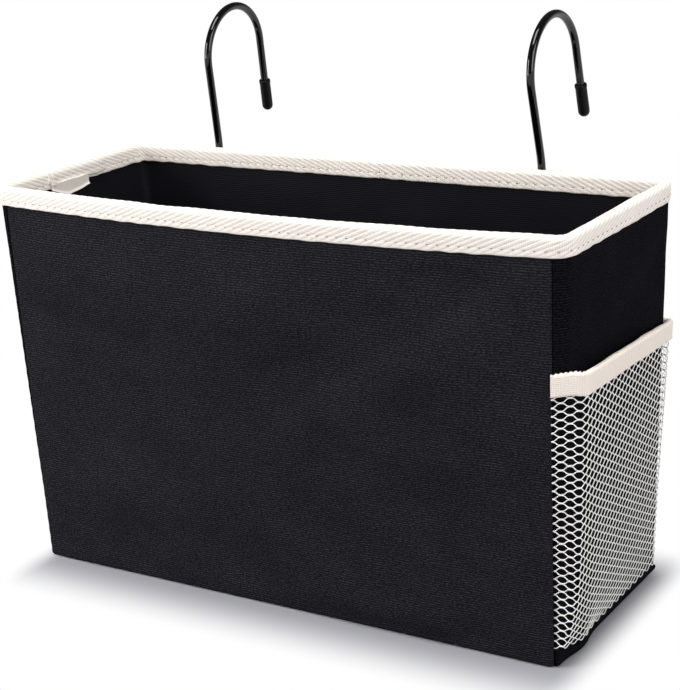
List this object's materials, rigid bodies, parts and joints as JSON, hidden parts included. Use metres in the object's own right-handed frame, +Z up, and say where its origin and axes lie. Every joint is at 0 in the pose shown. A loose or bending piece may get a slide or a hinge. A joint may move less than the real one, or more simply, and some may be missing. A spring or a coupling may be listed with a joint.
{
  "type": "bedside caddy",
  "caption": "Open canvas box bag with a bound rim, a net pocket on one side and wire hooks on its back that hang it on a bed rail.",
  "frame": {"origin": "middle of the base's underside, where the bag rests", "axes": "+X along the bag's width, towards the net pocket; +Y to the back, where the hooks hang on a rail; +Z up"},
  "size_m": [0.3471, 0.193, 0.2933],
  "materials": {
    "canvas": "matt plain weave",
    "lining": "matt",
    "board": "matt",
    "felt": "needled felt",
    "tape": "twill weave",
    "net": "knitted net",
    "wire": "gloss coat",
    "cap": "satin"
  },
  "bodies": {
    "bag": {"base_cover": "canvas", "base_board": "board", "base_lining": "lining", "front_cover": "canvas", "front_board": "board", "front_lining": "lining", "back_cover": "canvas", "back_board": "board", "back_lining": "lining", "left_cover": "canvas", "left_interlining": "felt", "left_lining": "lining", "right_cover": "canvas", "right_interlining": "felt", "right_lining": "lining", "rim_binding": "tape", "pocket_net": "net", "pocket_band": "tape", "hook_sleeve_left": "canvas", "hook_sleeve_right": "canvas"},
    "hook_left": {"hook_wire_left": "wire", "hook_cap_left": "cap"},
    "hook_right": {"hook_wire_right": "wire", "hook_cap_right": "cap"}
  },
  "joints": [
    {"name": "hook_left_swivel", "type": "hinge", "parent": "bag", "child": "hook_left", "pos_m": [-0.1123, 0.06665, 0.1645], "axis": [0, 0, 1], "range_deg": [0, 180]},
    {"name": "hook_right_swivel", "type": "hinge", "parent": "bag", "child": "hook_right", "pos_m": [0.0938, 0.06665, 0.1645], "axis": [0, 0, 1], "range_deg": [-180, 0]}
  ]
}
